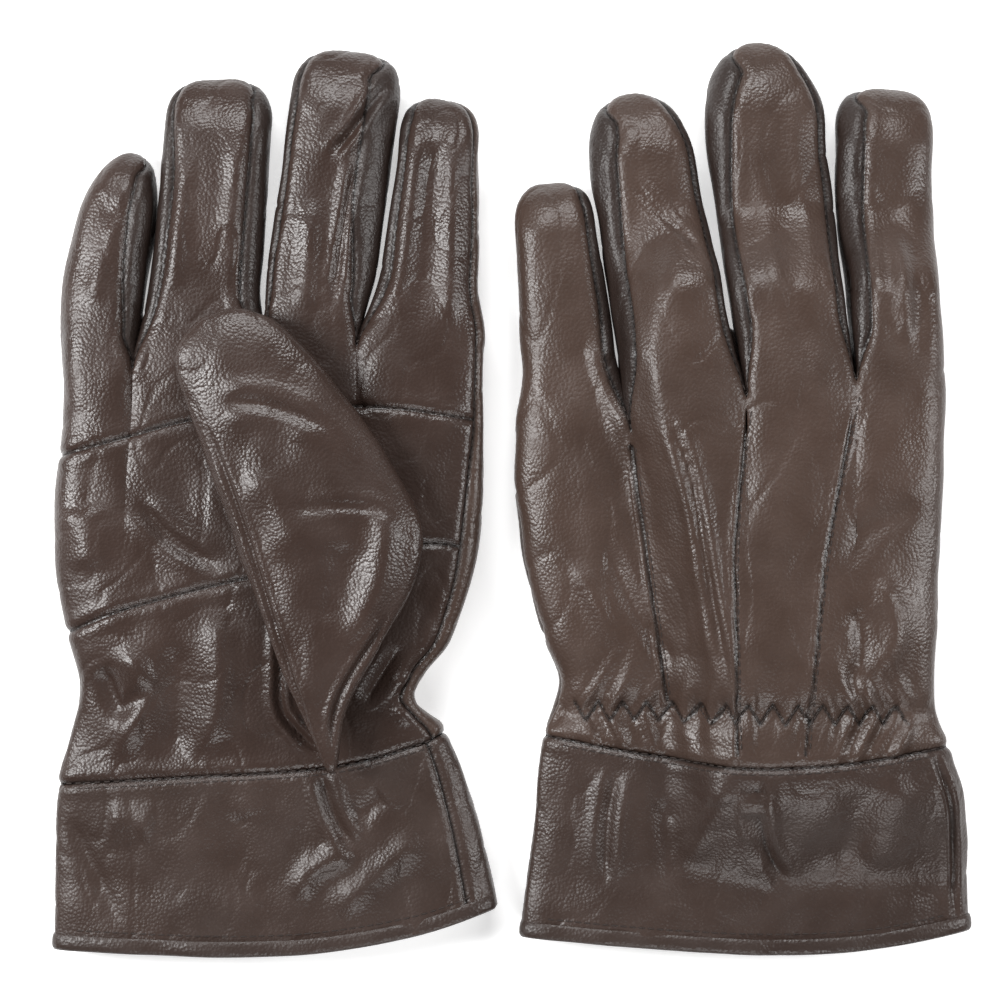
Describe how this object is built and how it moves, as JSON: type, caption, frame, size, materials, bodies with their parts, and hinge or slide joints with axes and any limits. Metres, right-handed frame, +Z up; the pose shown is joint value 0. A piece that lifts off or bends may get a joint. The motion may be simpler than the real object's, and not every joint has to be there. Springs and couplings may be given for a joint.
{
  "type": "leather gloves",
  "caption": "Pair of dress gloves in fine-grain leather with points on the back, gathered wrist and bound cuff, lying flat, one palm up with the thumb folded over, one back up.",
  "frame": {"origin": "centre of the pair's bounding box in plan, at table height", "axes": "+Z up out of the table, +Y from the cuffs towards the fingertips, +X from the right glove towards the left glove"},
  "size_m": [0.2622, 0.2608, 0.0346],
  "materials": {
    "leather": "semi-gloss, fine pebble grain",
    "leather_back": "semi-gloss, smooth fine grain, slightly lighter",
    "leather_cuff": "semi-gloss, fine pebble grain",
    "binding": "semi-gloss, folded edge",
    "lining": "matt fine knit",
    "elastic": "matt woven elastic",
    "thread": "matt twisted thread"
  },
  "bodies": {
    "right_hand": {"right_back_panel": "leather_back", "right_palm_upper": "leather", "right_palm_middle": "leather", "right_palm_heel": "leather", "right_fourchettes": "leather", "right_cuff_palm": "leather_cuff", "right_cuff_back": "leather_cuff", "right_cuff_binding": "binding", "right_lining": "lining", "right_wrist_elastic": "elastic", "right_stitching": "thread"},
    "right_thumb": {"right_thumb_front": "leather", "right_thumb_back": "leather", "right_thumb_lining": "lining"},
    "right_little_finger": {"right_little_tip_palm": "leather", "right_little_tip_back": "leather_back", "right_little_tip_side": "leather", "right_little_tip_lining": "lining"},
    "right_ring_finger": {"right_ring_tip_palm": "leather", "right_ring_tip_back": "leather_back", "right_ring_tip_side": "leather", "right_ring_tip_lining": "lining"},
    "right_middle_finger": {"right_middle_tip_palm": "leather", "right_middle_tip_back": "leather_back", "right_middle_tip_side": "leather", "right_middle_tip_lining": "lining"},
    "right_index_finger": {"right_index_tip_palm": "leather", "right_index_tip_back": "leather_back", "right_index_tip_side": "leather", "right_index_tip_lining": "lining"},
    "left_hand": {"left_back_panel": "leather_back", "left_palm_upper": "leather", "left_palm_middle": "leather", "left_palm_heel": "leather", "left_fourchettes": "leather", "left_cuff_palm": "leather_cuff", "left_cuff_back": "leather_cuff", "left_cuff_binding": "binding", "left_lining": "lining", "left_wrist_elastic": "elastic", "left_stitching": "thread"},
    "left_thumb": {"left_thumb_front": "leather", "left_thumb_back": "leather", "left_thumb_lining": "lining"},
    "left_little_finger": {"left_little_tip_palm": "leather", "left_little_tip_back": "leather_back", "left_little_tip_side": "leather", "left_little_tip_lining": "lining"},
    "left_ring_finger": {"left_ring_tip_palm": "leather", "left_ring_tip_back": "leather_back", "left_ring_tip_side": "leather", "left_ring_tip_lining": "lining"},
    "left_middle_finger": {"left_middle_tip_palm": "leather", "left_middle_tip_back": "leather_back", "left_middle_tip_side": "leather", "left_middle_tip_lining": "lining"},
    "left_index_finger": {"left_index_tip_palm": "leather", "left_index_tip_back": "leather_back", "left_index_tip_side": "leather", "left_index_tip_lining": "lining"}
  },
  "joints": [
    {"name": "left_glove_lift", "type": "slide", "parent": "right_hand", "child": "left_hand", "axis": [0, 0, 1], "range_m": [0, 0.15]},
    {"name": "right_thumb_swing", "type": "hinge", "parent": "right_hand", "child": "right_thumb", "pos_m": [-0.0476, -0.058, 0.0272], "axis": [0, 0, -1], "range_deg": [0, 40]},
    {"name": "right_little_bend", "type": "hinge", "parent": "right_hand", "child": "right_little_finger", "pos_m": [-0.11481, 0.06936, 0.018], "axis": [0.9841, -0.1778, 0], "range_deg": [0, 75]},
    {"name": "right_ring_bend", "type": "hinge", "parent": "right_hand", "child": "right_ring_finger", "pos_m": [-0.08619, 0.07907, 0.018], "axis": [0.997, -0.0777, 0], "range_deg": [0, 75]},
    {"name": "right_middle_bend", "type": "hinge", "parent": "right_hand", "child": "right_middle_finger", "pos_m": [-0.05101, 0.08493, 0.018], "axis": [0.9899, -0.1414, 0], "range_deg": [0, 75]},
    {"name": "right_index_bend", "type": "hinge", "parent": "right_hand", "child": "right_index_finger", "pos_m": [-0.02248, 0.07531, 0.018], "axis": [0.9967, -0.0811, 0], "range_deg": [0, 75]},
    {"name": "left_thumb_swing", "type": "hinge", "parent": "left_hand", "child": "left_thumb", "pos_m": [0.0834, -0.06, 0.0066], "axis": [0, 0, -1], "range_deg": [0, 40]},
    {"name": "left_little_bend", "type": "hinge", "parent": "left_hand", "child": "left_little_finger", "pos_m": [0.014, 0.05556, 0.018], "axis": [0.9962, 0.0868, 0], "range_deg": [0, 60]},
    {"name": "left_ring_bend", "type": "hinge", "parent": "left_hand", "child": "left_ring_finger", "pos_m": [0.04069, 0.07512, 0.01831], "axis": [0.9829, 0.184, 0], "range_deg": [0, 60]},
    {"name": "left_middle_bend", "type": "hinge", "parent": "left_hand", "child": "left_middle_finger", "pos_m": [0.07407, 0.08424, 0.018], "axis": [0.9941, 0.1085, 0], "range_deg": [0, 60]},
    {"name": "left_index_bend", "type": "hinge", "parent": "left_hand", "child": "left_index_finger", "pos_m": [0.10693, 0.07594, 0.01834], "axis": [0.9997, 0.024, 0], "range_deg": [0, 60]}
  ]
}
